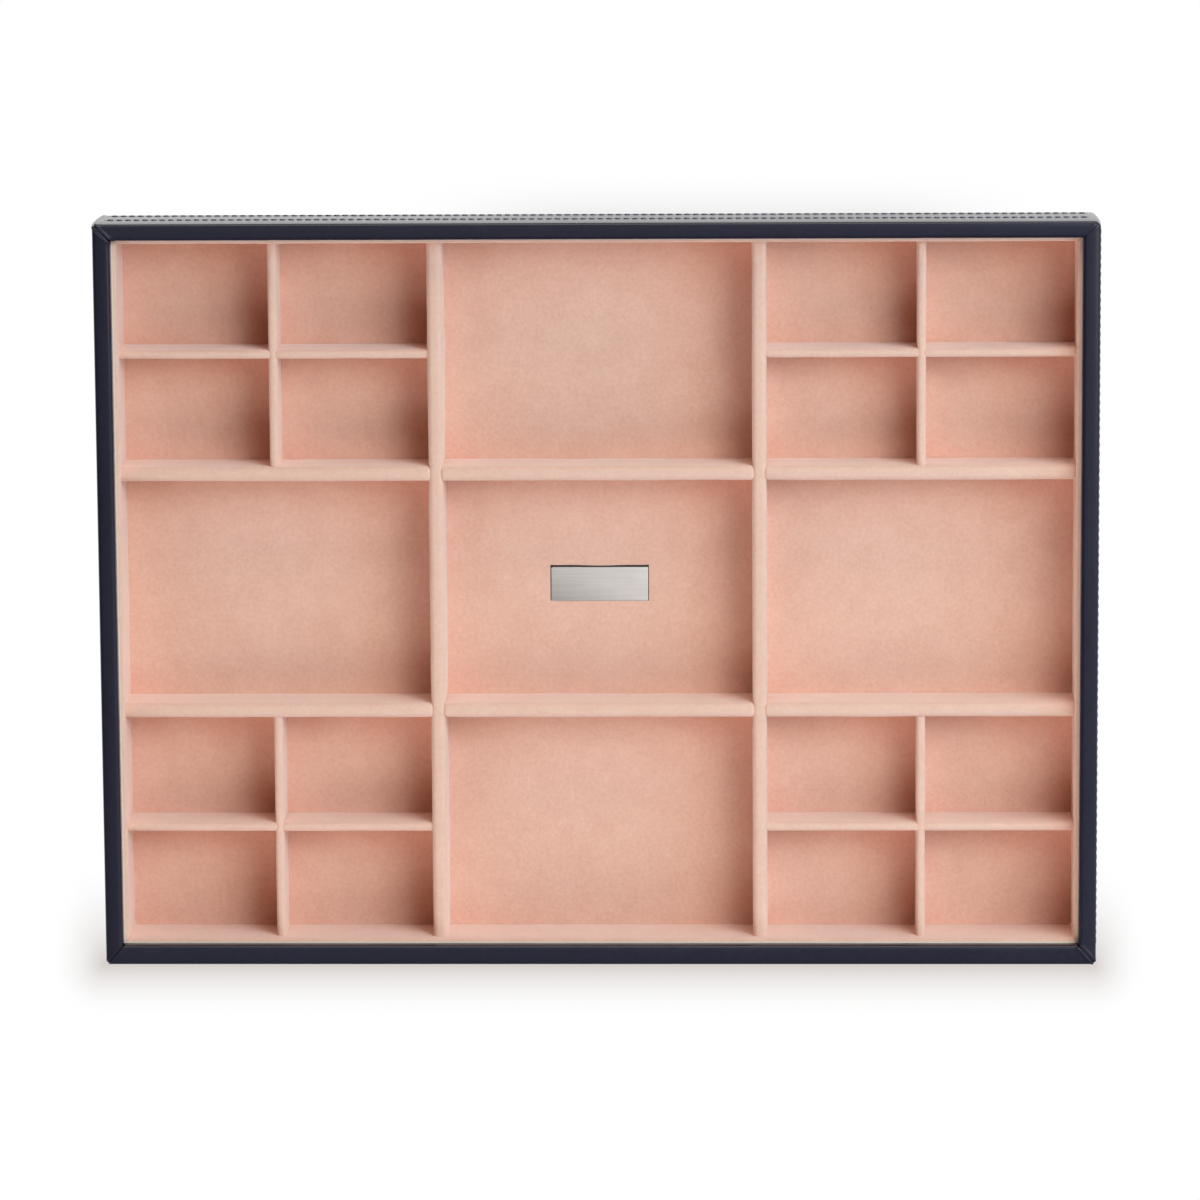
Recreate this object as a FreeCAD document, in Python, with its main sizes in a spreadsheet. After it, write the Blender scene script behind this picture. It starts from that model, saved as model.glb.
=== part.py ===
import FreeCAD, Part
import os
import re
import Sketcher
from FreeCAD import Placement, Rotation, Vector

# A flat rectangular jewelry tray: a mitred board frame wrapped in stitched leatherette, lined with suede,
# and split by a lapped grid of suede-covered dividers.
# Millimetres. The tray lies flat on its felt with the compartments open upwards: +X to the right, +Y to the
# back, +Z up, and the origin at the middle of the underside.

# Driving sizes
SIZES = {
    "tray_width": 356.0,
    "tray_length": 267.0,
    "tray_height": 34.0,
    "corner_radius": 2.0,
    "rim_round": 1.2,
    "cover_thickness": 0.8,
    "wall_board_thickness": 4.3,
    "flap_width": 12.0,
    "base_sheet_thickness": 1.2,
    "base_sheet_gap": 0.5,
    "base_board_thickness": 2.5,
    "floor_card_thickness": 1.2,
    "suede_thickness": 0.6,
    "lining_card_thickness": 1.0,
    "lining_drop": 4.2,
    "lining_round": 0.6,
    "main_core_thickness": 4.4,
    "main_divider_height": 20.5,
    "main_round": 1.8,
    "small_core_thickness": 2.7,
    "small_divider_height": 19.3,
    "small_round": 1.4,
    "lap_share": 0.5,
    "lap_clearance": 0.1,
    "plate_width": 35.1,
    "plate_length": 12.4,
    "plate_thickness": 0.5,
    "plate_radius": 0.6,
    "plate_clearance": 0.25,
    "thread_width": 0.6,
    "thread_proud": 0.6,
    "thread_inset": 5.0,
    "upper_row_depth": 14.0,
    "lower_row_height": 5.5,
    "overrun": 1.0,
}

# Sizes that follow from the driving ones
FOLLOWING = {
    "rim_width": "2 * cover_thickness + wall_board_thickness",
    "flap_underside": "base_sheet_thickness - cover_thickness",
    "base_top": "base_sheet_thickness + base_board_thickness",
    "card_top": "base_top + floor_card_thickness",
    "floor_top": "card_top + suede_thickness",
    "lining_top": "tray_height - lining_drop",
    "lining_back": "rim_width + lining_card_thickness",
    "lining_face": "lining_back + suede_thickness",
    "inner_width": "tray_width - 2 * lining_face",
    "inner_length": "tray_length - 2 * lining_face",
    "main_thickness": "main_core_thickness + 2 * suede_thickness",
    "small_thickness": "small_core_thickness + 2 * suede_thickness",
    "cell_width": "(inner_width - 2 * main_thickness) / 3",
    "cell_length": "(inner_length - 2 * main_thickness) / 3",
    "column_pitch": "cell_width + main_thickness",
    "row_pitch": "cell_length + main_thickness",
}

doc = FreeCAD.newDocument("jewelry_tray")
sheet = doc.addObject("Spreadsheet::Sheet", "sizes")
for row, (alias, size) in enumerate(SIZES.items(), start=1):
    sheet.set(f"A{row}", alias.replace("_", " "))
    sheet.set(f"B{row}", str(size))
    sheet.setAlias(f"B{row}", alias)
doc.recompute()

pieces = []


def bound(formula):
    """The formula with each size name pointing at its cell, and each following size written out."""
    def point(match):
        word = match.group(0)
        if word in FOLLOWING:
            return f"({bound(FOLLOWING[word])})"
        return f"sizes.{word}" if word in SIZES else word
    return re.sub(r"[a-z_]+", point, formula)


def size_of(formula):
    return float(sheet.evalExpression(bound(formula)))


def place(piece, across="0", along="0", up="0", quarter_turns=0):
    """Turn a piece about the upright axis, then move it to its place in the tray."""
    piece.Placement = Placement(Vector(0, 0, 0), Rotation(Vector(0, 0, 1), 90 * quarter_turns))
    for axis, formula in (("x", across), ("y", along), ("z", up)):
        piece.setExpression(f"Placement.Base.{axis}", bound(formula))


def new_body(label):
    body = doc.addObject("PartDesign::Body", label)
    body.Label = label
    return body


def outline(body, role, *loops):
    """A sketch of closed loops on one of the body's own planes.

    A corner is (across, up); a third entry is the centre of the arc that leads to it, as (across, up)."""
    sketch = body.newObject("Sketcher::SketchObject", f"{body.Label}_outline")
    plane = next(feature for feature in body.Origin.OriginFeatures if feature.Role == role)
    sketch.AttachmentSupport = [(plane, "")]
    sketch.MapMode = "FlatFace"

    def pin(kind, edge, end, formula):
        index = sketch.addConstraint(Sketcher.Constraint(kind, edge, end, size_of(formula)))
        sketch.setExpression(f"Constraints[{index}]", bound(formula))

    for loop in loops:
        spots = [Vector(size_of(corner[0]), size_of(corner[1]), 0) for corner in loop]
        ends = []
        for number, corner in enumerate(loop):
            start, stop = spots[number - 1], spots[number]
            if len(corner) == 2:
                edge = sketch.addGeometry(Part.LineSegment(start, stop))
                ends.append((edge, 1, 2))
                continue
            centre = Vector(size_of(corner[2][0]), size_of(corner[2][1]), 0)
            left_turn = (start - centre).cross(stop - centre).z > 0
            first, last = (start, stop) if left_turn else (stop, start)
            circle = Part.Circle(centre, Vector(0, 0, 1), (start - centre).Length)
            arc = Part.ArcOfCircle(circle, circle.parameter(first), circle.parameter(last))
            edge = sketch.addGeometry(arc)
            ends.append((edge, 1, 2) if left_turn else (edge, 2, 1))
        for number, (edge, _, stop_end) in enumerate(ends):
            next_edge, next_start, _ = ends[(number + 1) % len(ends)]
            sketch.addConstraint(Sketcher.Constraint("Coincident", edge, stop_end, next_edge, next_start))
        for (edge, _, stop_end), corner in zip(ends, loop):
            pin("DistanceX", edge, stop_end, corner[0])
            pin("DistanceY", edge, stop_end, corner[1])
            if len(corner) == 3:
                pin("DistanceX", edge, 3, corner[2][0])
    return sketch


def extrude(body, kind, sketch, length, side="Symmetric"):
    """Pad or pocket a sketch, to both sides of its plane unless told otherwise."""
    before = body.Shape.Volume if kind == "Pocket" else 0
    feature = body.newObject(f"PartDesign::{kind}", f"{body.Label}_{kind.lower()}")
    feature.Profile = sketch
    feature.SideType = side
    feature.setExpression("Length", bound(length))
    doc.recompute()
    if kind == "Pocket" and body.Shape.Volume >= before:
        raise ValueError(f"{body.Label}: the pocket cut nothing")


def rectangle(low_across, low_up, high_across, high_up):
    return [(low_across, low_up), (high_across, low_up), (high_across, high_up), (low_across, high_up)]


# The sides in order round the tray, a quarter turn apart: the run of each, and where its middle stands.
# A side piece is drawn along X with its outer face on Y = 0 and inwards as +Y.
SIDES = {
    "front": ("tray_width", "0", "-tray_length / 2"),
    "right": ("tray_length", "tray_width / 2", "0"),
    "back": ("tray_width", "0", "tray_length / 2"),
    "left": ("tray_length", "-tray_width / 2", "0"),
}


def place_side(piece, side):
    _, across, along = SIDES[side]
    place(piece, across, along, quarter_turns=list(SIDES).index(side))


def mitred_board(label, side, outer, inner, low, high):
    """A straight board with both ends cut at 45 degrees, between two depths in from the tray's outer face."""
    half = f"{SIDES[side][0]} / 2"
    board = doc.addObject("Part::Wedge", label)
    board.Label = label
    formulas = {
        "Xmin": f"-({half} - ({outer}))", "Xmax": f"{half} - ({outer})", "Ymin": outer,
        "X2min": f"-({half} - ({inner}))", "X2max": f"{half} - ({inner})", "Ymax": inner,
        "Zmin": low, "Zmax": high, "Z2min": low, "Z2max": high,
    }
    for name, formula in formulas.items():
        board.setExpression(name, bound(formula))
    place_side(board, side)
    pieces.append(board)


def mitred_strip(label, side, section, depth, corner=None):
    """A strip of one section with its ends cut at 45 degrees, and rounded at the tray's corners if asked."""
    run = SIDES[side][0]
    body = new_body(label)
    pieces.append(body)
    extrude(body, "Pad", outline(body, "YZ_Plane", section), run)
    reach = f"({depth} + overrun)"
    ends = []
    for sign in ("1", "-1"):
        def at(formula):
            return f"{sign} * ({formula})"
        end = [
            (at(f"{run} / 2 + overrun"), reach),
            (at(f"{run} / 2 - {reach}"), reach),
        ]
        if corner:
            pull = f"{corner} * (1 - 1 / sqrt(2))"
            centre = (at(f"{run} / 2 - {corner}"), corner)
            end += [
                (at(f"{run} / 2 - {pull}"), pull),
                (at(f"{run} / 2 - {corner}"), "0", centre),
                (at(f"{run} / 2 - {corner}"), "-overrun"),
                (at(f"{run} / 2 + overrun"), "-overrun"),
            ]
        else:
            end += [(at(f"{run} / 2"), "0"), (at(f"{run} / 2 + overrun"), "0")]
        ends.append(end)
    extrude(body, "Pocket", outline(body, "XY_Plane", *ends), "2 * tray_height + overrun")
    place_side(body, side)


# Underside felt, which the tray rests on, and the base board above it
def plain_sheet(label, width, length, low, thickness):
    body = doc.addObject("Part::Box", label)
    body.Label = label
    for name, formula in (("Length", width), ("Width", length), ("Height", thickness)):
        body.setExpression(name, bound(formula))
    place(body, f"-({width}) / 2", f"-({length}) / 2", low)
    pieces.append(body)


felt_margin = "2 * (flap_width + base_sheet_gap)"
plain_sheet("base_felt", f"tray_width - {felt_margin}", f"tray_length - {felt_margin}",
            "0", "base_sheet_thickness")
plain_sheet("base_board", "tray_width - 2 * cover_thickness", "tray_length - 2 * cover_thickness",
            "base_sheet_thickness", "base_board_thickness")

# Frame: four mitred boards glued on the base board, each wrapped by a leatherette strip that comes up the
# outside from a flap under the base, over the rim and down the inside to the base board
cover_section = [
    ("cover_thickness", "flap_underside", ("cover_thickness", "flap_underside + cover_thickness")),
    ("flap_width", "flap_underside"),
    ("flap_width", "base_sheet_thickness"),
    ("cover_thickness", "base_sheet_thickness"),
    ("cover_thickness", "tray_height - cover_thickness"),
    ("rim_width - cover_thickness", "tray_height - cover_thickness"),
    ("rim_width - cover_thickness", "base_top"),
    ("rim_width", "base_top"),
    ("rim_width", "tray_height - rim_round"),
    ("rim_width - rim_round", "tray_height", ("rim_width - rim_round", "tray_height - rim_round")),
    ("rim_round", "tray_height"),
    ("0", "tray_height - rim_round", ("rim_round", "tray_height - rim_round")),
    ("0", "flap_underside + cover_thickness"),
]
for side in SIDES:
    mitred_board(f"wall_board_{side}", side, "cover_thickness", "rim_width - cover_thickness",
                 "base_top", "tray_height - cover_thickness")
    mitred_strip(f"wall_cover_{side}", side, cover_section, "flap_width", "corner_radius")

# Stitching: two rows of round thread on the outer face of every wall, each row a group of four threads
STITCH_ROWS = {
    "stitching_upper": "tray_height - upper_row_depth",
    "stitching_lower": "lower_row_height",
}
for label, level in STITCH_ROWS.items():
    bead = "-(thread_proud - thread_width / 2)"
    thread_section = [
        ("0", f"{level} - thread_width / 2"),
        ("0", f"{level} + thread_width / 2"),
        (bead, f"{level} + thread_width / 2"),
        ("-thread_proud", level, (bead, level)),
        (bead, f"{level} - thread_width / 2", (bead, level)),
    ]
    threads = []
    for side, (run, *_) in SIDES.items():
        thread = new_body(f"{label}_{side}")
        extrude(thread, "Pad", outline(thread, "YZ_Plane", thread_section), f"{run} - 2 * thread_inset")
        place_side(thread, side)
        threads.append(thread)
    row_group = doc.addObject("Part::Compound", label)
    row_group.Label = label
    row_group.Links = threads
    pieces.append(row_group)

# Floor: a card laid on the base board, a suede sheet with a cut-out, and a metal plate let into it
plain_sheet("floor_card", "tray_width - 2 * rim_width", "tray_length - 2 * rim_width",
            "base_top", "floor_card_thickness")
floor_suede = new_body("floor_suede")
pieces.append(floor_suede)
floor_edge = rectangle("-(tray_width / 2 - rim_width)", "-(tray_length / 2 - rim_width)",
                       "tray_width / 2 - rim_width", "tray_length / 2 - rim_width")
plate_window = rectangle("-(plate_width / 2 + plate_clearance)", "-(plate_length / 2 + plate_clearance)",
                         "plate_width / 2 + plate_clearance", "plate_length / 2 + plate_clearance")
extrude(floor_suede, "Pad", outline(floor_suede, "XY_Plane", floor_edge, plate_window), "suede_thickness",
        "One side")
place(floor_suede, up="card_top")

plate = new_body("badge_plate")
pieces.append(plate)
plate_across = "plate_width / 2"
plate_up = "plate_length / 2"
plate_edge = []
for across_sign, up_sign, starts_up in (("", "-", False), ("", "", True), ("-", "", False), ("-", "-", True)):
    square = (f"{across_sign}({plate_across})", f"{up_sign}({plate_up})")
    inset = (f"{across_sign}({plate_across} - plate_radius)", f"{up_sign}({plate_up} - plate_radius)")
    before, after = (inset[0], square[1]), (square[0], inset[1])
    if starts_up:
        before, after = after, before
    plate_edge += [before, (*after, inset)]
extrude(plate, "Pad", outline(plate, "XY_Plane", plate_edge), "plate_thickness", "One side")
place(plate, up="card_top")

# Lining: a card against each wall, standing on the floor, with suede over its face and its top edge
lining_section = [
    ("lining_back", "floor_top"),
    ("lining_face", "floor_top"),
    ("lining_face", "lining_top - lining_round"),
    ("lining_face - lining_round", "lining_top", ("lining_face - lining_round", "lining_top - lining_round")),
    ("rim_width", "lining_top"),
    ("rim_width", "lining_top - suede_thickness"),
    ("lining_back", "lining_top - suede_thickness"),
]
for side in SIDES:
    mitred_board(f"lining_card_{side}", side, "rim_width", "lining_back",
                 "floor_top", "lining_top - suede_thickness")
    mitred_strip(f"lining_suede_{side}", side, lining_section, "lining_face")


# Dividers: a card core with rounded top edges, under suede folded over it. Where two cross they are halved
# into each other: those that run back to front are cut from below, those that run side to side from above.
def divider(label, kind, run, crossings, from_below, across, along):
    core_half = f"({kind}_core_thickness / 2)"
    outer_half = f"({kind}_thickness / 2)"
    height = f"{kind}_divider_height"
    outer_round = f"{kind}_round"
    core_top = f"({height} - suede_thickness)"
    core_round = f"({outer_round} - suede_thickness)"
    core_shoulder = f"{core_top} - {core_round}"
    outer_shoulder = f"{height} - {outer_round}"
    core_section = [
        (f"-{core_half}", "0"),
        (core_half, "0"),
        (core_half, core_shoulder),
        (f"{core_half} - {core_round}", core_top, (f"{core_half} - {core_round}", core_shoulder)),
        (f"-({core_half} - {core_round})", core_top),
        (f"-{core_half}", core_shoulder, (f"-({core_half} - {core_round})", core_shoulder)),
    ]
    suede_section = [
        (core_half, "0"),
        (outer_half, "0"),
        (outer_half, outer_shoulder),
        (f"{outer_half} - {outer_round}", height, (f"{outer_half} - {outer_round}", outer_shoulder)),
        (f"-({outer_half} - {outer_round})", height),
        (f"-{outer_half}", outer_shoulder, (f"-({outer_half} - {outer_round})", outer_shoulder)),
        (f"-{outer_half}", "0"),
        (f"-{core_half}", "0"),
        (f"-{core_half}", core_shoulder),
        (f"-({core_half} - {core_round})", core_top, (f"-({core_half} - {core_round})", core_shoulder)),
        (f"{core_half} - {core_round}", core_top),
        (core_half, core_shoulder, (f"{core_half} - {core_round}", core_shoulder)),
    ]
    lap = f"{height} * lap_share"
    low, high = ("-overrun", lap) if from_below else (lap, f"{height} + overrun")
    slot_half = f"({outer_half} + lap_clearance)"
    slots = [rectangle(f"{spot} - {slot_half}", low, f"{spot} + {slot_half}", high) for spot in crossings]
    for part, section in (("core", core_section), ("suede", suede_section)):
        body = new_body(f"{label}_{part}")
        pieces.append(body)
        extrude(body, "Pad", outline(body, "YZ_Plane", section), run)
        extrude(body, "Pocket", outline(body, "XZ_Plane", *slots), f"{kind}_thickness + 2 * overrun")
        place(body, across, along, "floor_top", quarter_turns=1 if from_below else 0)


half_column, half_row = "column_pitch / 2", "row_pitch / 2"
for name, sign in (("left", "-"), ("right", "")):
    divider(f"divider_{name}", "main", "inner_length", (f"-{half_row}", half_row), True,
            f"{sign}{half_column}", "0")
for name, sign in (("front", "-"), ("back", "")):
    divider(f"divider_{name}", "main", "inner_width", (f"-{half_column}", half_column), False,
            "0", f"{sign}{half_row}")

# Corner compartments: each is quartered by a thinner, lower pair of dividers
for row_name, row_sign in (("front", "-"), ("back", "")):
    for column_name, column_sign in (("left", "-"), ("right", "")):
        spot = (f"{column_sign}column_pitch", f"{row_sign}row_pitch")
        corner_label = f"corner_{row_name}_{column_name}"
        divider(f"{corner_label}_upright", "small", "cell_length", ("0",), True, *spot)
        divider(f"{corner_label}_cross", "small", "cell_width", ("0",), False, *spot)

doc.recompute()
for item in doc.Objects:
    if "Invalid" in item.State or "Error" in item.State:
        raise ValueError(f"{item.Label}: {item.State}")
for piece in pieces:
    if piece.Shape.isNull() or not piece.Shape.isValid():
        raise ValueError(f"{piece.Label}: its shape is empty or not valid")
os.makedirs("parts", exist_ok=True)
for piece in pieces:
    piece.Shape.exportStep(f"parts/{piece.Label}.step")
print(len(pieces), "pieces")
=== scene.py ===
from contextlib import contextmanager
import math

import bmesh
import bpy
from mathutils import Euler, Matrix, Vector


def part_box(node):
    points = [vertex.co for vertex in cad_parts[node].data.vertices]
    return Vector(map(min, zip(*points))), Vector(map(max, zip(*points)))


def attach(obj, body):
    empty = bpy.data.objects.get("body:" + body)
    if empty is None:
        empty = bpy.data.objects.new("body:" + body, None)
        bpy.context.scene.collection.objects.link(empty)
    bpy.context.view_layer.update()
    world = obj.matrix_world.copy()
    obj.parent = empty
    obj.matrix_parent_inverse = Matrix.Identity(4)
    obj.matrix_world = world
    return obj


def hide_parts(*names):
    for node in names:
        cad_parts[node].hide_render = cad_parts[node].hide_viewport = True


# A flat jewelry tray: a mitred board frame wrapped in stitched navy leatherette, lined with blush suede and
# split into 21 compartments by a lapped grid of suede-covered dividers. Metres, in the frame of the solids.
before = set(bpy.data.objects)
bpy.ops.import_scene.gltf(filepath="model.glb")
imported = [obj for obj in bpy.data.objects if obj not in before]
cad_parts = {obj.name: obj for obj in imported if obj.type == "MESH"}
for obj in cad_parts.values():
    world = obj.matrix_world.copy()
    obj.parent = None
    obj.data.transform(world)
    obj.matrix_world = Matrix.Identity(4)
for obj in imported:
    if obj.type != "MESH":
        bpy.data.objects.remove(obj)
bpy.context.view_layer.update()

# Underside felt
# A sheet of dense wool felt, cut square and glued under the base board inside the turned-in leatherette.
# The tray rests on it.
MM = 0.001
felt_corner = 2.0 * MM
felt_edge = 0.35 * MM
felt_relief = 0.25 * MM
felt_dark = (0.010, 0.011, 0.017, 1)
felt_pale = (0.034, 0.035, 0.047, 1)
# Places this close count as one, and faces that meet at less than this angle are shaded as one.
touch = 0.01 * MM
smooth_below = math.radians(40)


def activate(piece):
    bpy.ops.object.select_all(action="DESELECT")
    piece.select_set(True)
    bpy.context.view_layer.objects.active = piece


def block(name, low, high):
    """A new box between two corners, with its place in its mesh."""
    bpy.ops.object.select_all(action="DESELECT")
    bpy.ops.mesh.primitive_cube_add(size=1, location=(low + high) / 2)
    piece = bpy.context.object
    piece.name = name
    piece.data.name = name
    piece.scale = high - low
    bpy.ops.object.transform_apply()
    return piece


@contextmanager
def editing(piece):
    """Open one piece for editing, and close it again."""
    activate(piece)
    bpy.ops.object.mode_set(mode="EDIT")
    yield
    bpy.ops.object.mode_set(mode="OBJECT")


def near(place, wanted):
    return abs(place - wanted) < touch


def pick(piece, kind, wanted):
    """Select the vertices, edges or faces of an open piece whose corners all lie where wanted says."""
    bpy.ops.mesh.select_mode(type=kind)
    bpy.ops.mesh.select_all(action="DESELECT")
    mesh = bmesh.from_edit_mesh(piece.data)
    for element in {"VERT": mesh.verts, "EDGE": mesh.edges, "FACE": mesh.faces}[kind]:
        corners = [element] if kind == "VERT" else element.verts
        if all(wanted(corner.co) for corner in corners):
            element.select_set(True)
    mesh.select_flush_mode()
    bmesh.update_edit_mesh(piece.data)


class Signal:
    """A value on its way through a finish. Arithmetic on it adds Math nodes."""

    def __init__(self, finish, socket):
        self.finish = finish
        self.socket = socket

    def math(self, operation, *values):
        return self.finish.add("ShaderNodeMath", {"operation": operation}, dict(enumerate(values)))

    def __add__(self, other):
        return self.math("ADD", self, other)

    def __sub__(self, other):
        return self.math("SUBTRACT", self, other)

    def __rsub__(self, other):
        return self.math("SUBTRACT", other, self)

    def __mul__(self, other):
        return self.math("MULTIPLY", self, other)

    __radd__ = __add__
    __rmul__ = __mul__

    def __abs__(self):
        return self.math("ABSOLUTE", self)

    def root(self):
        return self.math("SQRT", self)

    def at_least(self, least):
        return self.math("MAXIMUM", self, least)

    def at_most(self, most):
        return self.math("MINIMUM", self, most)

    def stronger(self, gain):
        """The same pattern, with its ups and downs about the middle made larger."""
        return (self - 0.5) * gain + 0.5


class Finish:
    """The nodes of a material or of the world, and the one way in which they are added."""

    def __init__(self, owner):
        owner.use_nodes = True
        self.owner = owner
        self.tree = owner.node_tree
        self.tree.nodes.clear()

    def add(self, kind, settings=None, sockets=None, output=0):
        node = self.tree.nodes.new(kind)
        for name, value in (settings or {}).items():
            setattr(node, name, value)
        for name, value in (sockets or {}).items():
            if isinstance(value, Signal):
                self.tree.links.new(value.socket, node.inputs[name])
            else:
                node.inputs[name].default_value = value
        return Signal(self, node.outputs[output]) if node.outputs else None

    def noise(self, place, scale, detail=2.0, roughness=0.5):
        sockets = {"Vector": place, "Scale": scale, "Detail": detail, "Roughness": roughness}
        return self.add("ShaderNodeTexNoise", None, sockets, "Fac")

    def between(self, share, first, second):
        return self.add("ShaderNodeMix", {"data_type": "RGBA"}, {0: share, 6: first, 7: second}, 2)

    def ramp(self, value, start, end, first=0.0, last=1.0):
        """A soft step from the first value, up to the start, to the last one, from the end on."""
        return self.add("ShaderNodeMapRange", {"interpolation_type": "SMOOTHSTEP"},
                        {"Value": value, "From Min": start, "From Max": end, "To Min": first, "To Max": last})

    def place(self, stretch=None):
        """The spot on the piece, in metres, stretched if the pattern is."""
        spot = self.add("ShaderNodeTexCoord", output="Object")
        if stretch is None:
            return spot
        return self.add("ShaderNodeMapping", None, {"Vector": spot, "Scale": stretch})

    def close(self, height, depth, **sockets):
        """The surface itself, with a relief of that depth over its height."""
        relief = self.add("ShaderNodeBump", None, {"Height": height, "Distance": depth}, "Normal")
        surface = {name.replace("_", " "): value for name, value in sockets.items()}
        shader = self.add("ShaderNodeBsdfPrincipled", None, {**surface, "Normal": relief})
        self.add("ShaderNodeOutputMaterial", None, {"Surface": shader})
        return self.owner


def wool_felt():
    finish = Finish(bpy.data.materials.new("wool_felt"))
    spot = finish.place()
    hairs = finish.noise(spot, scale=1500, detail=4, roughness=0.7)
    clumps = finish.noise(spot, scale=160, detail=3)
    share = (hairs * 0.7 + clumps * 0.3).stronger(2.6)
    colour = finish.between(share, felt_dark, felt_pale)
    return finish.close(hairs + clumps * 0.6, felt_relief, Base_Color=colour, Roughness=0.95,
                        Sheen_Weight=0.25, Specular_IOR_Level=0.1)


def fit(piece, finish, slot, *nodes):
    """Give a piece its finish and let it ride on the tray in place of its solids."""
    piece.data.materials.clear()
    piece.data.materials.append(finish)
    activate(piece)
    bpy.ops.object.shade_smooth_by_angle(angle=smooth_below)
    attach(piece, "root")
    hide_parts(*nodes)


felt_low, felt_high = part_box("base_felt")
felt = block("felt_underside", felt_low, felt_high)
with editing(felt):
    for across in (felt_low.x, felt_high.x):
        for along in (felt_low.y, felt_high.y):
            pick(felt, "EDGE", lambda spot: near(spot.x, across) and near(spot.y, along))
            bpy.ops.mesh.bevel(offset=felt_corner, segments=4, affect="EDGES")
    for level in (felt_low.z, felt_high.z):
        pick(felt, "EDGE", lambda spot: near(spot.z, level))
        bpy.ops.mesh.bevel(offset=felt_edge, segments=2, affect="EDGES")
fit(felt, wool_felt(), "felt", "base_felt")

# Base and wall boards
# Plain fibreboard, sawn to size: one flat base, and four walls glued on it with mitred corners. The covers,
# the linings, the floor and the felt hide all of it.
board_relief = 0.12 * MM
board_dark = (0.17, 0.105, 0.055, 1)
board_pale = (0.36, 0.25, 0.15, 1)


def fibreboard():
    finish = Finish(bpy.data.materials.new("fibreboard"))
    spot = finish.place()
    chips = finish.noise(spot, scale=900, detail=5, roughness=0.7)
    cloud = finish.noise(spot, scale=60)
    share = (chips * 0.75 + cloud * 0.25).stronger(2.2)
    return finish.close(chips, board_relief, Base_Color=finish.between(share, board_dark, board_pale),
                        Roughness=0.8 + chips * 0.15, Specular_IOR_Level=0.2)


def dress(finish, *nodes):
    """Give solids that stay as they are a finish."""
    for node in nodes:
        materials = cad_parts[node].data.materials
        materials.clear()
        materials.append(finish)


# The sides in order round the tray, a quarter turn apart. A strip for a side is made along X with its outer
# face on Y = 0 and inwards as +Y.
SIDES = ("front", "right", "back", "left")
dress(fibreboard(), "base_board", *(f"wall_board_{side}" for side in SIDES))

# Leatherette wall covers
# One strip of grained navy leatherette for each wall. It starts as a flap glued under the base, comes up the
# outer face, over the rim and down the inside, and meets its neighbours in mitred seams with rolled edges. It
# stands off its board a little, so the walls swell. Corners are listed from the front right one, by the back.
tray_low, tray_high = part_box("wall_cover_front")
half_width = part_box("wall_cover_right")[1].x
half_length = -tray_low.y
board_low, board_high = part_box("wall_board_front")
cover_thickness = board_low.y - tray_low.y
rim_width = board_high.y + cover_thickness - tray_low.y
flap_width = tray_high.y - tray_low.y
rim_outer_round = 0.9 * MM
rim_inner_round = 1.4 * MM
rim_ridge = 4.4 * MM
rim_fall = 0.6 * MM
rim_cut_shares = (0.4, 0.55, 0.7, 0.85, 1.0)
foot_round = 2.4 * MM
corner_radii = (1.7 * MM, 2.4 * MM, 1.5 * MM, 1.8 * MM)
seam_cuts = (0.08 * MM, 0.2 * MM, 0.4 * MM, 0.7 * MM, 1.0 * MM, 1.4 * MM)
seam_reach = 2.1 * MM
seam_crest = 0.7 * MM
seam_dip = 0.45 * MM
seam_rolls = (0.28 * MM, 0.12 * MM, 0.28 * MM, 0.25 * MM)
seam_lifts = (0.20 * MM, 0.04 * MM, 0.28 * MM, 0.10 * MM)
# How far each wall stands out all over, and how much further at half height.
belly_sizes = {"front": (1.2 * MM, 0.2 * MM), "right": (0.3 * MM, 0.6 * MM), "back": (0.0, 0.1 * MM),
               "left": (0.2 * MM, 1.1 * MM)}
stitch_pitch = 3.06 * MM
stitch_rows = {}
for row in ("upper", "lower"):
    row_low, row_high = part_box(f"stitching_{row}")
    stitch_rows[row] = (row_low.z + row_high.z) / 2
stitch_inset = 2.8 * MM
pucker = 0.9 * MM
pucker_shares = (-2, -1, 0, 1, 2)
hole_depth = 0.16 * MM
thread_groove = 0.05 * MM
cut_weld = 0.001 * MM
slice_weld = 0.005 * MM
seam_weld = 0.03 * MM
grain_relief = 0.06 * MM
navy_dark = (0.0078, 0.0070, 0.0180, 1)
navy_pale = (0.0137, 0.0124, 0.0285, 1)


def apply(piece, kind, **settings):
    """Add a modifier with these settings to a piece, and apply it."""
    activate(piece)
    modifier = piece.modifiers.new(kind.lower(), kind)
    for name, value in settings.items():
        setattr(modifier, name, value)
    bpy.ops.object.modifier_apply(modifier=modifier.name)


def cut(spot, normal, **clear):
    """Cut an open piece all through along a plane."""
    bpy.ops.mesh.select_all(action="SELECT")
    bpy.ops.mesh.bisect(plane_co=spot, plane_no=Vector(normal).normalized(), threshold=cut_weld, **clear)


def upright_slice(name, width, low, high, depth, facing):
    """A narrow upright face along X, facing outwards (-1) or inwards (+1), as the start of a strip."""
    bpy.ops.object.select_all(action="DESELECT")
    bpy.ops.mesh.primitive_plane_add(size=1, location=(width / 2, depth, (low + high) / 2),
                                     rotation=(-facing * math.pi / 2, 0, 0))
    piece = bpy.context.object
    piece.name = name
    piece.scale = (width, high - low, 1)
    bpy.ops.object.transform_apply()
    return piece


def extrude(step):
    bpy.ops.mesh.extrude_region_move(TRANSFORM_OT_translate={"value": step})


def copy_piece(piece, name):
    """A copy with its own mesh."""
    twin = piece.copy()
    twin.data = piece.data.copy()
    twin.name = name
    twin.data.name = name
    bpy.context.collection.objects.link(twin)
    return twin


def run_of(side):
    return 2 * (half_width if side in ("front", "back") else half_length)


def stitches_on(side):
    return int((run_of(side) - 2 * stitch_inset) / stitch_pitch)


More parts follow.
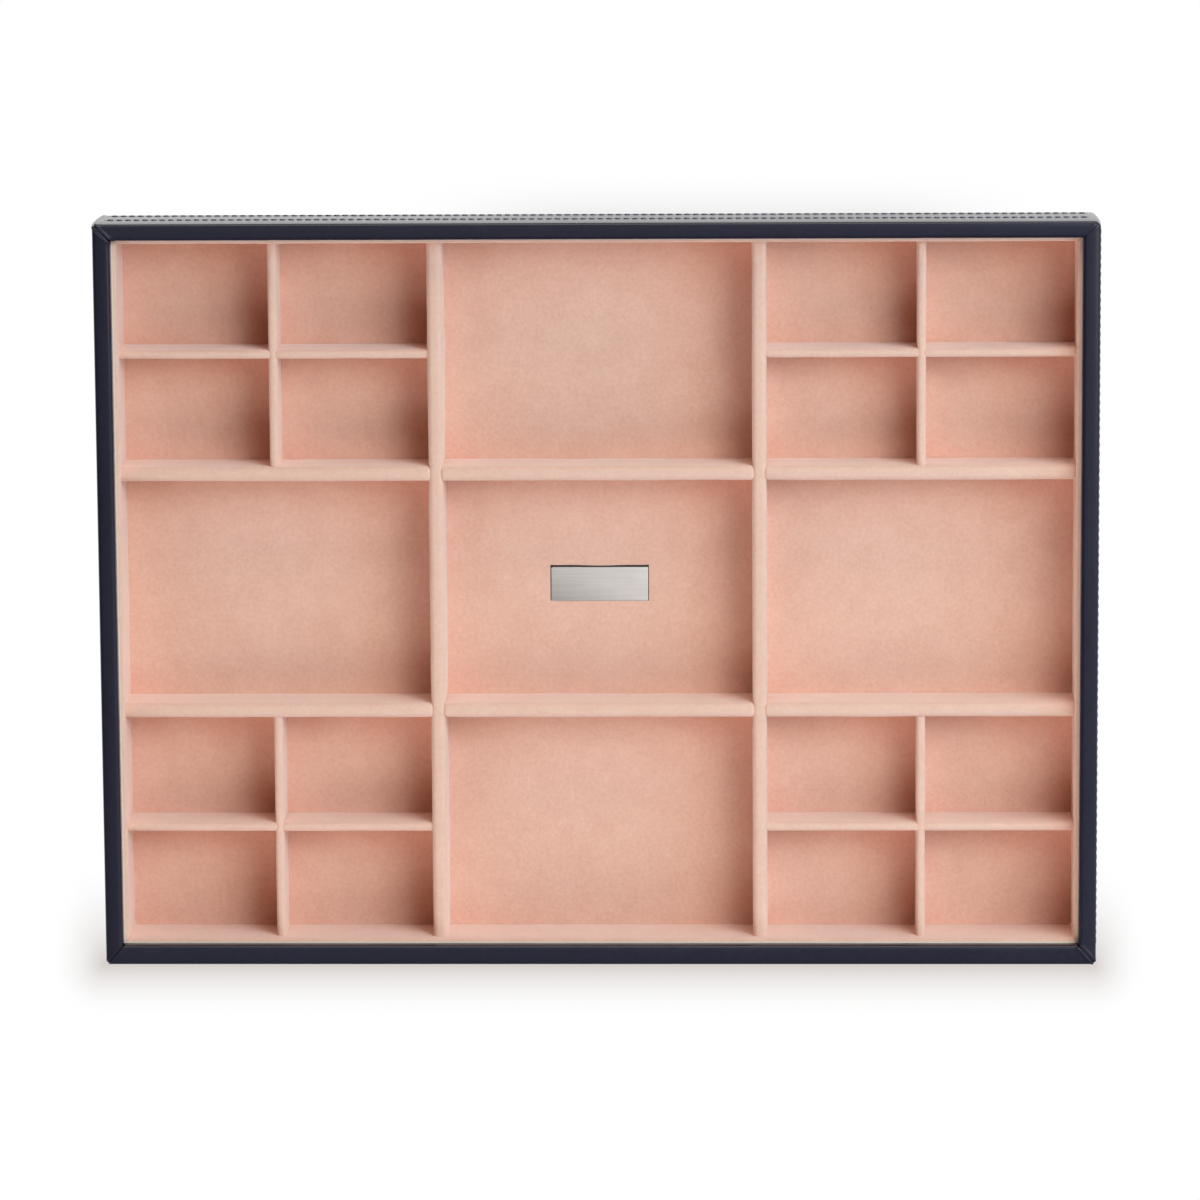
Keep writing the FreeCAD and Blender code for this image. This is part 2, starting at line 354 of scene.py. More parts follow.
def repeat_along(piece, name, side, pitch, needed=0):
    """Copy a slice along one side of the tray, centred, and cut both ends off at 45 degrees."""
    run = run_of(side)
    strip = copy_piece(piece, name)
    count = needed + 2 * math.ceil((run / pitch - needed) / 2)
    apply(strip, "ARRAY", count=count, use_relative_offset=False, use_constant_offset=True,
          constant_offset_displace=(pitch, 0, 0), use_merge_vertices=True, merge_threshold=slice_weld)
    strip.location.x = -count * pitch / 2
    bpy.ops.object.transform_apply()
    with editing(strip):
        for end in (-1, 1):
            cut((end * run / 2, 0, 0), (end, 1, 0), clear_outer=True)
    return strip


def set_on_side(piece, side):
    """Turn a strip to its side of the tray and put it in its place there."""
    quarter = SIDES.index(side)
    middle = ((0, -half_length, 0), (half_width, 0, 0), (0, half_length, 0), (-half_width, 0, 0))[quarter]
    piece.matrix_world = Matrix.Translation(middle) @ Matrix.Rotation(quarter * math.pi / 2, 4, "Z")
    activate(piece)
    bpy.ops.object.transform_apply()


def roll_seams(strip, run, corner_before, corner_after):
    """Turn both mitred edges of a strip down into the seams, with a low fold beside them."""
    with editing(strip):
        for end in (-1, 1):
            for back in seam_cuts:
                cut((end * (run / 2 - back * math.sqrt(2)), 0, 0), (end, 1, 0))
        bpy.ops.mesh.select_all(action="SELECT")
        bpy.ops.mesh.remove_doubles(threshold=seam_weld)
    moves = []
    for vertex in strip.data.vertices:
        corner = corner_after if vertex.co.x > 0 else corner_before
        away = max(run / 2 - abs(vertex.co.x) - vertex.co.y, 0) / math.sqrt(2)
        if away < seam_reach:
            rise = seam_lifts[corner] * math.exp(-((away - seam_crest) / seam_dip) ** 2)
            fall = seam_rolls[corner] * max(1 - away / seam_dip, 0) ** 2
            moves.append((vertex, vertex.normal * (rise - fall)))
    for vertex, move in moves:
        vertex.co += move


def round_corners(strip, run, radius_before, radius_after):
    """Trim a thickened strip to its mitres and bend its ends round the tray's upright corners."""
    for vertex in strip.data.vertices:
        radius = radius_after if vertex.co.x > 0 else radius_before
        depth = vertex.co.y
        short = max(run / 2 - abs(vertex.co.x), depth)
        if depth < radius and short < radius:
            reach = radius - depth
            turn = (1 - (short - depth) / reach) * math.pi / 4
            short = radius - reach * math.sin(turn)
            vertex.co.y = radius - reach * math.cos(turn)
        vertex.co.x = math.copysign(run / 2 - short, vertex.co.x)


def smooth(share):
    """An even share from 0 to 1, with a soft start and end."""
    share = min(max(share, 0.0), 1.0)
    return share * share * (3 - 2 * share)


def belly(piece):
    """Let the wrapped walls stand out from their boards, most at half height."""
    for vertex in piece.data.vertices:
        swell = math.sin(math.pi * min(max(vertex.co.z / tray_high.z, 0.0), 1.0))
        for axis, half, sides in ((0, half_width, ("left", "right")), (1, half_length, ("front", "back"))):
            place = vertex.co[axis]
            base, middle = belly_sizes[sides[place > 0]]
            share = smooth((abs(place) - half + rim_width) / rim_width)
            vertex.co[axis] += math.copysign(share * (base + middle * swell), place)


def leatherette():
    finish = Finish(bpy.data.materials.new("navy_leatherette"))
    spot = finish.place()
    cells = finish.add("ShaderNodeTexVoronoi", {"feature": "SMOOTH_F1"},
                       {"Vector": spot, "Scale": 1150, "Smoothness": 0.6}, "Distance")
    creases = finish.noise(spot, scale=420, detail=4, roughness=0.6)
    haze = finish.noise(spot, scale=30)
    share = (creases * 0.6 + haze * 0.4).stronger(2.0)
    colour = finish.between(share, navy_dark, navy_pale)
    return finish.close(creases * 0.5 - cells, grain_relief, Base_Color=colour,
                        Roughness=0.45 + creases * 0.15, Specular_IOR_Level=0.05,
                        Coat_Weight=1.0, Coat_IOR=1.32, Coat_Roughness=0.2)


wall_slice = upright_slice("wall_slice", stitch_pitch, tray_low.z, tray_high.z, 0, -1)
with editing(wall_slice):
    pick(wall_slice, "EDGE", lambda spot: near(spot.z, tray_high.z))
    extrude((0, rim_width, 0))
    extrude((0, 0, board_low.z - tray_high.z))
    pick(wall_slice, "EDGE", lambda spot: near(spot.z, tray_low.z))
    extrude((0, flap_width, 0))
    for depth, offset in ((0, rim_outer_round), (rim_width, rim_inner_round)):
        pick(wall_slice, "EDGE", lambda spot: near(spot.z, tray_high.z) and near(spot.y, depth))
        bpy.ops.mesh.bevel(offset=offset, segments=5, affect="EDGES")
    for share in rim_cut_shares:
        cut((0, rim_ridge * share, 0), (0, 1, 0))
    pick(wall_slice, "EDGE", lambda spot: near(spot.z, tray_low.z) and near(spot.y, 0))
    bpy.ops.mesh.bevel(offset=foot_round, segments=4, affect="EDGES")
    for level in stitch_rows.values():
        for share in pucker_shares:
            cut((0, 0, level + share * pucker), (0, 0, 1))
    for quarter in (1, 2, 3):
        cut((stitch_pitch * quarter / 4, 0, 0), (1, 0, 0))
    for level in stitch_rows.values():
        pick(wall_slice, "VERT", lambda spot: near(spot.z, level) and near(spot.y, 0))
        bpy.ops.transform.translate(value=(0, thread_groove, 0))
        for hole in (0, stitch_pitch):
            pick(wall_slice, "VERT", lambda spot: near(spot.z, level) and near(spot.y, thread_groove)
                 and near(spot.x, hole))
            bpy.ops.transform.translate(value=(0, hole_depth - thread_groove, 0))

# The rim falls away to the outside from a ridge near its inner edge.
for vertex in wall_slice.data.vertices:
    if vertex.co.z > tray_high.z - rim_outer_round - touch and vertex.co.y < rim_ridge:
        vertex.co.z -= rim_fall * (1 - vertex.co.y / rim_ridge) ** 2

cover_finish = leatherette()
for quarter, side in enumerate(SIDES):
    run = run_of(side)
    cover = repeat_along(wall_slice, f"leatherette_{side}", side, stitch_pitch, stitches_on(side))
    stitched = stitches_on(side) * stitch_pitch / 2
    # Beyond the last stitch there are no holes and no groove.
    with editing(cover):
        pick(cover, "VERT", lambda spot: abs(spot.x) > stitched + touch and 0 < spot.y < hole_depth + touch
             and any(near(spot.z, level) for level in stitch_rows.values()))
        bpy.ops.transform.resize(value=(1, 0, 1), center_override=(0, 0, 0))
    roll_seams(cover, run, quarter - 1, quarter)
    apply(cover, "SOLIDIFY", thickness=cover_thickness, offset=-1)
    round_corners(cover, run, corner_radii[quarter - 1], corner_radii[quarter])
    set_on_side(cover, side)
    belly(cover)
    fit(cover, cover_finish, "leatherette", f"wall_cover_{side}")
bpy.data.objects.remove(wall_slice)

# Stitching
# Two rows of waxed navy thread through each wall cover, in even stitches that lean a little. Each stitch is
# a short twisted lens of thread that dips into a needle hole at both ends.
stitch_half = (1.16 * MM, 0.24 * MM, 0.34 * MM)
stitch_sink = 0.16 * MM
stitch_lean = math.radians(7)
stitch_twist = math.radians(150)
stitch_tip_from_share = 0.8
stitch_tip_share = 0.62
thread_relief = 0.05 * MM
thread_dark = (0.060, 0.062, 0.088, 1)
thread_pale = (0.160, 0.165, 0.215, 1)


def waxed_thread():
    finish = Finish(bpy.data.materials.new("waxed_thread"))
    spot = finish.place()
    fibres = finish.noise(spot, scale=3200, detail=3, roughness=0.6)
    colour = finish.between(fibres.stronger(2.4), thread_dark, thread_pale)
    return finish.close(fibres, thread_relief, Base_Color=colour,
                        Roughness=0.55 + fibres * 0.2, Specular_IOR_Level=0.3)


bpy.ops.object.select_all(action="DESELECT")
bpy.ops.mesh.primitive_uv_sphere_add(segments=8, ring_count=6, radius=1, rotation=(0, math.pi / 2, 0))
stitch = bpy.context.object
bpy.ops.object.transform_apply()
stitch.scale = stitch_half
bpy.ops.object.transform_apply()
with editing(stitch):
    pick(stitch, "VERT", lambda spot: abs(spot.x) > stitch_tip_from_share * stitch_half[0])
    bpy.ops.transform.resize(value=(1, stitch_tip_share, stitch_tip_share), center_override=(0, 0, 0))
apply(stitch, "SIMPLE_DEFORM", deform_method="TWIST", deform_axis="X", angle=stitch_twist)
stitch.rotation_euler.y = stitch_lean
stitch.location = (stitch_pitch / 2, stitch_sink - stitch_half[1], 0)
bpy.ops.object.transform_apply()

thread_finish = waxed_thread()
for row, level in stitch_rows.items():
    lines = []
    for side in SIDES:
        line = copy_piece(stitch, f"stitches_{row}_{side}")
        apply(line, "ARRAY", count=stitches_on(side), use_relative_offset=False, use_constant_offset=True,
              constant_offset_displace=(stitch_pitch, 0, 0))
        line.location = (-stitches_on(side) * stitch_pitch / 2, 0, level)
        bpy.ops.object.transform_apply()
        set_on_side(line, side)
        lines.append(line)
    stitch_row = lines[0]
    activate(stitch_row)
    for line in lines:
        line.select_set(True)
    bpy.ops.object.join()
    stitch_row.name = f"stitches_{row}"
    stitch_row.data.name = stitch_row.name
    belly(stitch_row)
    fit(stitch_row, thread_finish, "thread", f"stitching_{row}")
bpy.data.objects.remove(stitch)

# Floor
# A dark grey card on the base board, under one sheet of blush suede with a window for the plate. The cut
# edges are pressed down a little, but the back one stands up and leaves a gap, wider near its ends.
window_margin = 0.25 * MM
window_press = 0.12 * MM
window_slope = 0.7 * MM
window_gap = 0.1 * MM
window_end_gap = 0.25 * MM
window_end_from = 8 * MM
floor_step = 6.0 * MM
floor_waves = 30 * MM
floor_unevenness = 0.10 * MM
card_relief = 0.06 * MM
# Painted shade: the card is darker than plain grey card, so that the gap behind the plate, the only place
# where it shows, reads dark.
card_dark = (0.046, 0.038, 0.033, 1)
card_pale = (0.105, 0.089, 0.079, 1)
blush_dark = (0.758, 0.40, 0.296, 1)
blush_pale = (0.910, 0.57, 0.450, 1)
blush_painted_lit = (0.862, 0.60, 0.500, 1)
blush_edge_highlight = (0.93, 0.80, 0.70, 1)
# Painted light: the nap is painted paler towards the crests, where more light falls, and a painted highlight
# runs pale along the lining's top against the tray's rim.
painted_light_from = 13 * MM
painted_light_to = 25 * MM
divider_painted_light_share = 0.28
lining_painted_light_share = 0.1
edge_highlight_from = -0.75 * MM
edge_highlight_to = -0.4 * MM
edge_highlight_share = 0.6
nap_relief = 0.18 * MM
nap_sheen = (1.0, 0.96, 0.93, 1)


def grey_card():
    finish = Finish(bpy.data.materials.new("grey_card"))
    spot = finish.place()
    pulp = finish.noise(spot, scale=700, detail=5, roughness=0.65)
    colour = finish.between(pulp.stronger(2.4), card_dark, card_pale)
    return finish.close(pulp, card_relief, Base_Color=colour, Roughness=0.9, Specular_IOR_Level=0.2)


def parts_of(finish, spot, axes):
    """How far a spot lies along each of these axes."""
    return [finish.add("ShaderNodeSeparateXYZ", None, {"Vector": spot}, axis) for axis in axes]


def blush_suede(name, painted_light_share):
    finish = Finish(bpy.data.materials.new(name))
    spot = finish.place()
    fibres = finish.noise(spot, scale=2600, detail=3, roughness=0.6)
    flecks = finish.noise(spot, scale=700, detail=3, roughness=0.6)
    strokes = finish.noise(spot, scale=110, detail=4, roughness=0.6)
    share = (fibres * 0.3 + flecks * 0.4 + strokes * 0.3).stronger(2.4)
    across, along, level = parts_of(finish, spot, "XYZ")
    # Painted light: paler towards the top, where more light falls on the crests and upper walls.
    painted_light = finish.ramp(level, painted_light_from, painted_light_to, 0.0, painted_light_share)
    # Painted highlight: pale cream along the top of the lining, next to the tray's rim.
    past_rim = (abs(across) - (half_width - rim_width)).at_least(abs(along) - (half_length - rim_width))
    edge = finish.ramp(past_rim, edge_highlight_from, edge_highlight_to, 0.0, edge_highlight_share)
    nap = finish.between(painted_light, finish.between(share, blush_dark, blush_pale), blush_painted_lit)
    colour = finish.between(edge, nap, blush_edge_highlight)
    return finish.close(fibres * 0.5 + flecks * 0.5, nap_relief, Base_Color=colour, Roughness=1.0,
                        Specular_IOR_Level=0.0, Sheen_Weight=0.7, Sheen_Roughness=0.5, Sheen_Tint=nap_sheen)


card_finish = grey_card()
suede_finish = blush_suede("blush_suede", divider_painted_light_share)
lining_finish = blush_suede("lining_suede", lining_painted_light_share)
dress(card_finish, "floor_card")
sheet_low, sheet_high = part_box("floor_suede")
plate_low, plate_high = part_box("badge_plate")
window_half_width = plate_high.x + window_margin
window_half_length = plate_high.y + window_margin
suede_thickness = sheet_high.z - sheet_low.z


def uneven(piece, waves, amount):
    """Leave a piece slightly uneven, as cloth glued by hand is."""
    texture = bpy.data.textures.new(f"{piece.name}_unevenness", "CLOUDS")
    texture.noise_scale = waves
    apply(piece, "DISPLACE", texture=texture, texture_coords="LOCAL", strength=amount, mid_level=0.5)


def in_window(spot):
    return abs(spot.x) < window_half_width + touch and abs(spot.y) < window_half_length + touch


bpy.ops.object.select_all(action="DESELECT")
sheet_size = sheet_high - sheet_low
bpy.ops.mesh.primitive_grid_add(x_subdivisions=round(sheet_size.x / floor_step),
                                y_subdivisions=round(sheet_size.y / floor_step), size=1,
                                location=(0, 0, sheet_high.z - floor_unevenness / 2))
floor_suede = bpy.context.object
floor_suede.name = "suede_floor"
floor_suede.data.name = floor_suede.name
floor_suede.scale = (sheet_size.x, sheet_size.y, 1)
bpy.ops.object.transform_apply()
uneven(floor_suede, floor_waves, floor_unevenness)
with editing(floor_suede):
    for margin in (window_slope, 0):
        for end in (-1, 1):
            cut((end * (window_half_width + margin), 0, 0), (1, 0, 0))
            cut((0, end * (window_half_length + margin), 0), (0, 1, 0))
    pick(floor_suede, "FACE", in_window)
    bpy.ops.mesh.delete(type="FACE")
    pick(floor_suede, "VERT", in_window)
    bpy.ops.transform.translate(value=(0, 0, -window_press))
    pick(floor_suede, "VERT", lambda spot: in_window(spot) and near(spot.y, window_half_length))
    bpy.ops.transform.translate(value=(0, window_gap, 2 * window_press))
    pick(floor_suede, "VERT", lambda spot: window_end_from < abs(spot.x) < window_half_width + touch
         and near(spot.y, window_half_length + window_gap))
    bpy.ops.transform.translate(value=(0, window_end_gap, 0))
apply(floor_suede, "SOLIDIFY", thickness=suede_thickness - floor_unevenness, offset=-1)
fit(floor_suede, suede_finish, "suede", "floor_suede")

# Plate
# A small plate of brushed nickel, stamped with round corners and a broken edge, glued on the floor card in
# the window of the suede. It sits a little low at the back. Its face is bare.
plate_corner = 0.6 * MM
plate_edge = 0.14 * MM
plate_tilt = math.radians(-2.2)
plate_slip = Vector((0, -0.36 * MM, -0.15 * MM))
brushing_relief = 0.02 * MM
brushing_stretch = (35, 2600, 1)
nickel_dark = (0.66, 0.615, 0.58, 1)
nickel_pale = (0.80, 0.755, 0.715, 1)


def brushed_nickel():
    finish = Finish(bpy.data.materials.new("brushed_nickel"))
    streaks = finish.noise(finish.place(brushing_stretch), scale=1, detail=4, roughness=0.6)
    cloud = finish.noise(finish.place(), scale=120)
    share = (streaks * 0.7 + cloud * 0.3).stronger(2.0)
    return finish.close(streaks, brushing_relief, Base_Color=finish.between(share, nickel_dark, nickel_pale),
                        Metallic=1.0, Roughness=0.10 + streaks * 0.08)


plate = block("nickel_plate", plate_low, plate_high)
with editing(plate):
    for across in (plate_low.x, plate_high.x):
        for along in (plate_low.y, plate_high.y):
            pick(plate, "EDGE", lambda spot: near(spot.x, across) and near(spot.y, along))
            bpy.ops.mesh.bevel(offset=plate_corner, segments=5, affect="EDGES")
    pick(plate, "EDGE", lambda spot: near(spot.z, plate_high.z))
    bpy.ops.mesh.bevel(offset=plate_edge, segments=3, affect="EDGES")
middle = (plate_low + plate_high) / 2
plate.matrix_world = (Matrix.Translation(middle + plate_slip)
                      @ Matrix.Rotation(plate_tilt, 4, "X") @ Matrix.Translation(-middle))
activate(plate)
bpy.ops.object.transform_apply()
fit(plate, brushed_nickel(), "plate_metal", "badge_plate")

# Lining
# A card against each wall, covered with suede that is drawn over its top edge. The four stand on the floor
# and stop a few millimetres below the rim. The suede eases round the inner corners.
lining_low, lining_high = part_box("lining_suede_front")
lining_face = lining_high.y + half_length
lining_back = rim_width
lining_round = 1.5 * MM
lining_ease = 1.3 * MM
lining_step = 4.0 * MM
lining_waves = 18 * MM
lining_unevenness = 0.22 * MM
dress(card_finish, *(f"lining_card_{side}" for side in SIDES))


def ease_corners(strip, run):
    """Trim a thickened lining strip to its mitres and ease its face round the inner corners."""
    for vertex in strip.data.vertices:
        depth = vertex.co.y
        short = max(run / 2 - abs(vertex.co.x), depth)
        share = (depth - lining_back) / (lining_face - lining_back)
        past = short - depth
        if share > 0 and past < lining_ease:
            turn = (1 - past / lining_ease) * math.pi / 4
            short += share * (lining_ease * (1 - math.sin(turn)) - past)
            vertex.co.y += share * lining_ease * (1 - math.cos(turn))
        vertex.co.x = math.copysign(run / 2 - short, vertex.co.x)


lining_slice = upright_slice("lining_slice", lining_step, lining_low.z, lining_high.z, lining_face, 1)
with editing(lining_slice):
    pick(lining_slice, "EDGE", lambda spot: near(spot.z, lining_high.z))
    extrude((0, lining_back - lining_face, 0))
    pick(lining_slice, "EDGE", lambda spot: near(spot.z, lining_high.z) and near(spot.y, lining_face))
    bpy.ops.mesh.bevel(offset=lining_round, segments=6, affect="EDGES")
    for share in (0.25, 0.5, 0.75):
        cut((0, 0, lining_low.z + share * (lining_high.z - lining_low.z)), (0, 0, 1))
for side in SIDES:
    run = run_of(side)
    lining = repeat_along(lining_slice, f"suede_lining_{side}", side, lining_step)
    with editing(lining):
        for end in (-1, 1):
            for share in (0.3, 0.6, 1.0):
                cut((end * (run / 2 - share * lining_ease), 0, 0), (end, 1, 0))
    apply(lining, "SOLIDIFY", thickness=suede_thickness, offset=-1, use_even_offset=True)
    ease_corners(lining, run)
    set_on_side(lining, side)
    uneven(lining, lining_waves, lining_unevenness)
    fit(lining, lining_finish, "suede", f"lining_suede_{side}")
bpy.data.objects.remove(lining_slice)

# Dividers
# Card cores under a fold of suede, standing on the floor. Those that run back to front are slotted from below
# and pass over those that run side to side, which are slotted from above and end in soft rounded butts there.
# The suede's ends press into the nap that they meet.
divider_step = 5.0 * MM
butt_round = 1.1 * MM
pinch_length = 2.6 * MM
lap_share = 0.5
slot_play = 0.1 * MM
end_reach = 0.3 * MM
divider_waves = 14 * MM
# How much slimmer each kind of fold is than its solid, and how it is rounded, butted, pinched and uneven.
folds = {
    "main": {"drawn_in": 0.4 * MM, "crest": 1.9 * MM, "reach": 0.75 * MM, "pinch": 0.20 * MM,
             "unevenness": 0.34 * MM},
    "small": {"drawn_in": 0.8 * MM, "crest": 1.3 * MM, "reach": 0.95 * MM, "pinch": 0.08 * MM,
              "unevenness": 0.20 * MM},
}


def fold(name, size, crest, slots, slot_half, from_below):
    """A fold of suede along X, open below, with slots at the crossings."""
    run, thickness, height = size
    lap = height * lap_share
    piece = block(name, Vector((-run / 2, -thickness / 2, 0)), Vector((run / 2, thickness / 2, height)))
    with editing(piece):
        for edge in (-thickness / 2, thickness / 2):
            pick(piece, "EDGE", lambda spot: near(spot.z, height) and near(spot.y, edge))
            bpy.ops.mesh.bevel(offset=crest, segments=5, affect="EDGES")
        pick(piece, "FACE", lambda spot: near(spot.z, 0))
        bpy.ops.mesh.delete(type="FACE")
        columns = round(run / divider_step)
        for column in range(1, columns):
            across = run * (column / columns - 0.5)
            if all(abs(across - slot) > slot_half + butt_round for slot in slots):
                cut((across, 0, 0), (1, 0, 0))
        for share in (0.25, 0.5, 0.75):
            cut((0, 0, height * share), (0, 0, 1))
        for slot in slots:
            for edge in (slot - slot_half, slot + slot_half):
                cut((edge, 0, 0), (1, 0, 0))
        for slot in slots:
            def in_slot(spot):
                past_lap = lap - spot.z if from_below else spot.z - lap
                return abs(spot.x - slot) < slot_half + touch and past_lap > -touch
            pick(piece, "FACE", in_slot)
            bpy.ops.mesh.delete(type="FACE")
            if from_below:
                continue
            for edge in (slot - slot_half, slot + slot_half):
                def on_butt(spot):
                    return near(spot.x, edge) and spot.z > lap - touch
                pick(piece, "VERT", on_butt)
                bpy.ops.mesh.edge_face_add()
                pick(piece, "EDGE", on_butt)
                bpy.ops.mesh.bevel(offset=butt_round, segments=4, affect="EDGES", clamp_overlap=False)
    return piece


def size_along(node, turned):
    """A divider's run, thickness and height."""
    low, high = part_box(node)
    size = high - low
    return (size.y, size.x, size.z) if turned else (size.x, size.y, size.z)


def middle_of(node):
    low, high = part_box(node)
    return (low + high) / 2


def pinch(piece, middle, crossings, amount):
    """Draw an upright fold in where it passes over the crossing ones."""
    for vertex in piece.data.vertices:
        for crossing in crossings:
            share = math.exp(-((vertex.co.y - crossing) / pinch_length) ** 2 / 2)
            vertex.co.x -= math.copysign(amount * share, vertex.co.x - middle)


def stand(master, stem, turned, crossings, make):
    """Copy a fold to its place over a core."""
    middle = middle_of(f"{stem}_suede")
    piece = copy_piece(master, f"suede_{stem}")
    piece.location = (middle.x, middle.y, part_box(f"{stem}_suede")[0].z)
    piece.rotation_euler.z = math.pi / 2 if turned else 0
    activate(piece)
    bpy.ops.object.transform_apply()
    uneven(piece, divider_waves, make["unevenness"])
    if turned:
        pinch(piece, middle.x, crossings, make["pinch"])
    run, thickness, height = size_along(f"{stem}_suede", turned)
    core_thickness = size_along(f"{stem}_core", turned)[1]
    apply(piece, "SOLIDIFY", thickness=(thickness - make["drawn_in"] - core_thickness) / 2, offset=-1)
    fit(piece, suede_finish, "suede", f"{stem}_suede")
    2 * height + thickness
    dress(card_finish, f"{stem}_core")


def master_fold(kind, node, turned, slots):
    """The fold that all dividers of one kind and direction are copied from."""
    make = folds[kind]
    run, thickness, height = size_along(node, turned)
    run += 2 * end_reach
    thickness -= make["drawn_in"]
    slot_half = thickness / 2 + (slot_play if turned else -make["reach"])
    return fold(f"{kind}_fold", (run, thickness, height), make["crest"], slots, slot_half, turned)


main_columns = [middle_of(f"divider_{name}_suede").x for name in ("left", "right")]
main_rows = [middle_of(f"divider_{name}_suede").y for name in ("front", "back")]
for names, turned, crossings in ((("left", "right"), True, main_rows),
                                 (("front", "back"), False, main_columns)):
    master = master_fold("main", f"divider_{names[0]}_suede", turned, crossings)
    for name in names:
        stand(master, f"divider_{name}", turned, crossings, folds["main"])
    bpy.data.objects.remove(master)
for way, turned in (("upright", True), ("cross", False)):
    master = master_fold("small", f"corner_front_left_{way}_suede", turned, [0.0])
    for row in ("front", "back"):
        for column in ("left", "right"):
            stem = f"corner_{row}_{column}_{way}"
            stand(master, stem, turned, [middle_of(f"{stem}_suede").y], folds["small"])
    bpy.data.objects.remove(master)

# Studio
# A wide white floor under a white surround, seen as plain white except for a painted soft shadow along the
# front edge and a painted faint shade behind. Large soft lamps stand to the right, behind and to the left,
# and two small warm ones in front. The matt lamps leave no highlight on the leatherette or the plate.
floor_size = 12.0
floor_drop = 0.2 * MM
floor_white = (0.97, 0.88, 0.84, 1)
seen_white = (1, 1, 1, 1)
shadow_grey = (0.68, 0.63, 0.61, 1)
shadow_reach = 20.5 * MM
shadow_middle = -2 * MM
shadow_aside = 3 * MM
shadow_ahead = 9 * MM
shadow_climb = 0.5
shade_grey = (0.87, 0.87, 0.87, 1)
shade_reach = 16 * MM
shade_middle = 44 * MM
shade_core = 50 * MM
shade_half = 120 * MM
# Bearing and height in degrees, distance and width in metres, power in watts, and colour.
lamps = {
    "key": (20, 50, 1.6, 1.0, 5.6, (1.0, 0.96, 0.84)),
    "back_key": (45, 50, 1.6, 1.0, 11.2, (0.74, 0.92, 1.0)),
    "side_light": (0, 30, 1.6, 1.0, 11.4, (0.43, 0.79, 1.0)),
    "back_light": (90, 20, 1.6, 0.9, 8.9, (1.0, 0.955, 0.845)),
    "left_fill": (225, 25, 1.6, 1.3, 11.2, (0.85, 0.91, 1.0)),
    "front_left_fill": (240, 45, 0.6, 0.45, 0.56, (1.0, 0.79, 0.54)),
    "front_right_fill": (300, 45, 0.6, 0.45, 0.56, (1.0, 0.93, 0.93)),
}
matt_lamps = ("side_light", "front_left_fill", "front_right_fill")
surround_light = 0.02
key_heading = (0.75, 0.35, 0.56)
reflected_level = 0.25
reflected_slope = 0.9
reflected_least = 0.05


def seen_directly(finish):
    """1 for rays that show the background: from the camera, off a gloss or through something clear."""
    names = ("Is Camera Ray", "Is Glossy Ray", "Is Transmission Ray")
    camera, gloss, clear = (finish.add("ShaderNodeLightPath", output=name) for name in names)
    return camera.at_least(gloss.at_least(clear))


def fade(distance, reach):
    """1 on the spot, and ever more slowly down to 0 at the reach."""
    left = (1 - distance * (1 / reach)).at_least(0.0)
    return left * left


def blend(finish, share, first, second):
    return finish.add("ShaderNodeMixShader", None, {0: share, 1: first, 2: second})


def studio_floor():
    finish = Finish(bpy.data.materials.new("studio_floor"))
    across, along = parts_of(finish, finish.place(), "XY")
    aside = (abs(across - shadow_middle) - (half_width + shadow_aside)).at_least(0.0)
    past_front = -(half_length + shadow_ahead) - along
    ahead = past_front.at_least(past_front * -shadow_climb)
    shadow = fade((aside * aside + ahead * ahead).root(), shadow_reach)
    shade = (fade(abs(along - half_length), shade_reach)
             * finish.ramp(abs(across - shade_middle), shade_core, shade_half, 1.0, 0.0))
    # Painted shadow and painted shade: the floor shows these greys to the camera, whatever the lamps do.
    white, dark, grey = (finish.add("ShaderNodeEmission", None, {"Color": colour, "Strength": 1.0})
                         for colour in (seen_white, shadow_grey, shade_grey))
    shown = blend(finish, shade, blend(finish, shadow, white, dark), grey)
    matt = finish.add("ShaderNodeBsdfDiffuse", None, {"Color": floor_white})
    top = blend(finish, seen_directly(finish), matt, shown)
    below = finish.add("ShaderNodeNewGeometry", output="Backfacing")
    surface = blend(finish, below, top, finish.add("ShaderNodeBsdfTransparent"))
    finish.add("ShaderNodeOutputMaterial", None, {"Surface": surface})
    return finish.owner


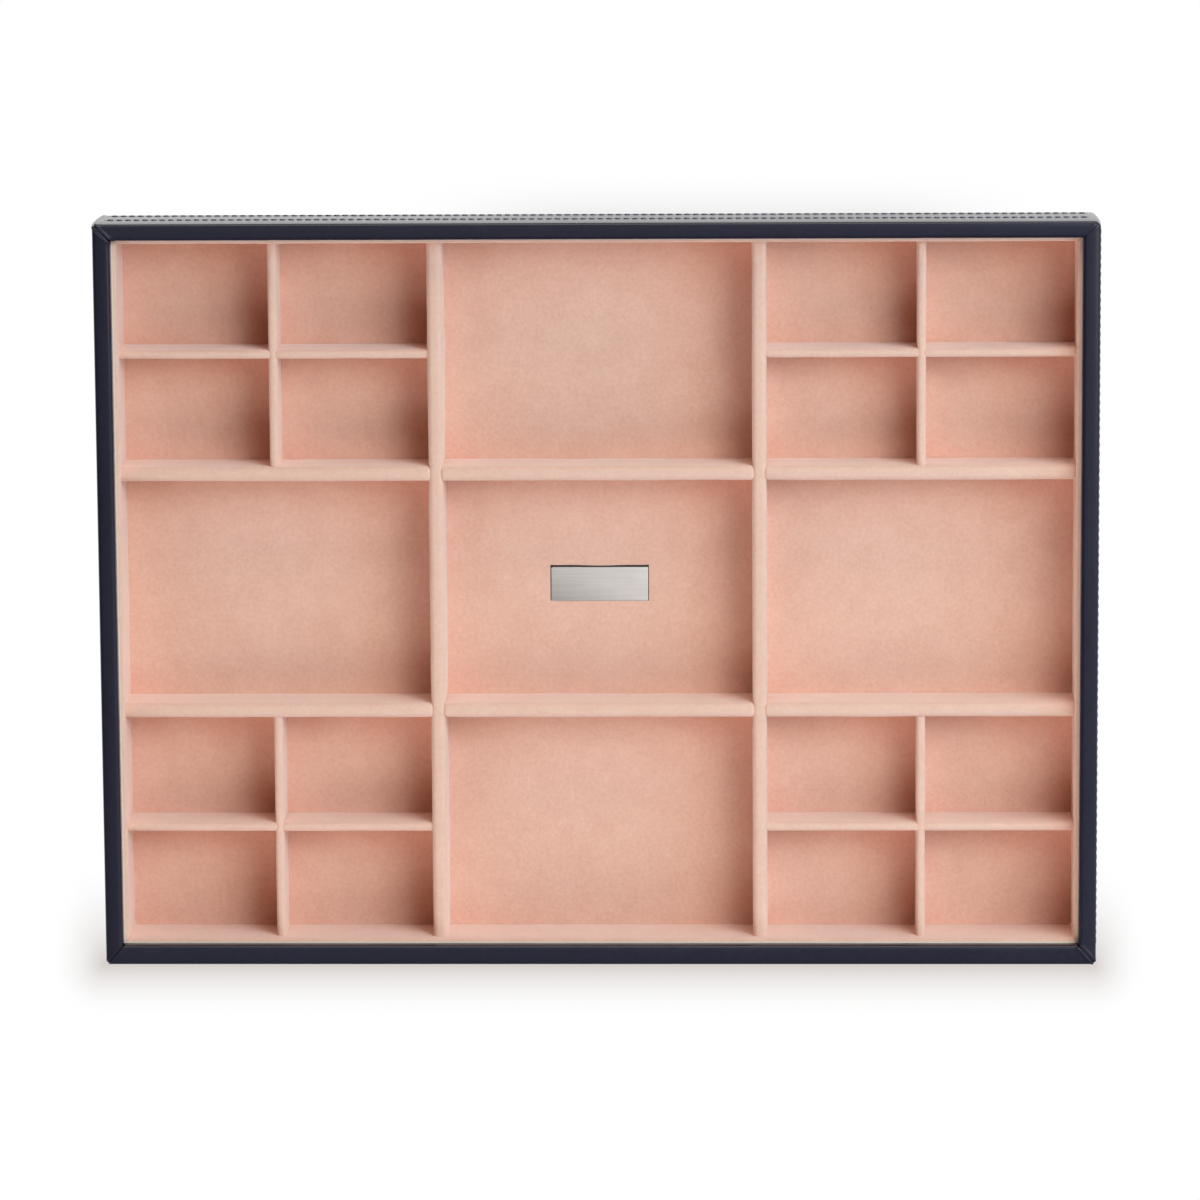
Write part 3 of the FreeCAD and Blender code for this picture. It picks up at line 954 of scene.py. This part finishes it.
bpy.ops.object.select_all(action="DESELECT")
bpy.ops.mesh.primitive_plane_add(size=floor_size, location=(0, 0, -floor_drop))
floor = bpy.context.object
floor.name = "studio_floor"
floor.data.materials.append(studio_floor())

world = bpy.data.worlds.new("studio_surround")
bpy.context.scene.world = world
surround = Finish(world)
heading = surround.add("ShaderNodeTexCoord", output="Generated")
to_key = surround.add("ShaderNodeVectorMath", {"operation": "DOT_PRODUCT"}, {0: heading, 1: key_heading},
                      "Value")
reflected = (to_key * reflected_slope + reflected_level).at_least(reflected_least).at_most(1.0)
gloss = surround.add("ShaderNodeLightPath", output="Is Glossy Ray")
camera_ray = surround.add("ShaderNodeLightPath", output="Is Camera Ray")
strength = camera_ray + (1 - camera_ray) * (gloss * reflected + (1 - gloss) * surround_light)
glow = surround.add("ShaderNodeBackground", None, {"Color": seen_white, "Strength": strength})
surround.add("ShaderNodeOutputWorld", None, {"Surface": glow})

for name, (bearing, height, distance, width, power, colour) in lamps.items():
    stand_at = Vector((distance, 0, 0))
    stand_at.rotate(Euler((0, -math.radians(height), math.radians(bearing)), "XYZ"))
    bpy.ops.object.light_add(type="AREA", location=stand_at)
    lamp = bpy.context.object
    lamp.name = name
    lamp.rotation_euler = (-stand_at).to_track_quat("-Z", "Y").to_euler()
    lamp.data.shape = "DISK"
    lamp.data.size = width
    lamp.data.energy = power
    lamp.data.color = colour
    lamp.visible_camera = False
    lamp.visible_glossy = name not in matt_lamps

# Camera
# A long lens high over the tray, a little to the back, level with the tray's sides. Its place follows from
# the tray's edges in the photograph.
rim_to_lens = 2179.9 * MM
aim_shift = Vector((-0.902 * MM, 1.358 * MM))
lens_length = 183.395
sensor_width = 36.0
lean_degrees = (9.487, -1.615, 0.093)
lean = Euler([math.radians(angle) for angle in lean_degrees], "XYZ").to_matrix()
bpy.ops.object.camera_add()
camera = bpy.context.object
camera.data.sensor_width = sensor_width
camera.data.lens = lens_length
camera.location = lean.transposed() @ Vector((-aim_shift.x, -aim_shift.y, rim_to_lens))
camera.location.z += tray_high.z
camera.rotation_euler = lean.transposed().to_euler()
bpy.context.scene.camera = camera
bpy.context.scene.view_settings.view_transform = "Standard"
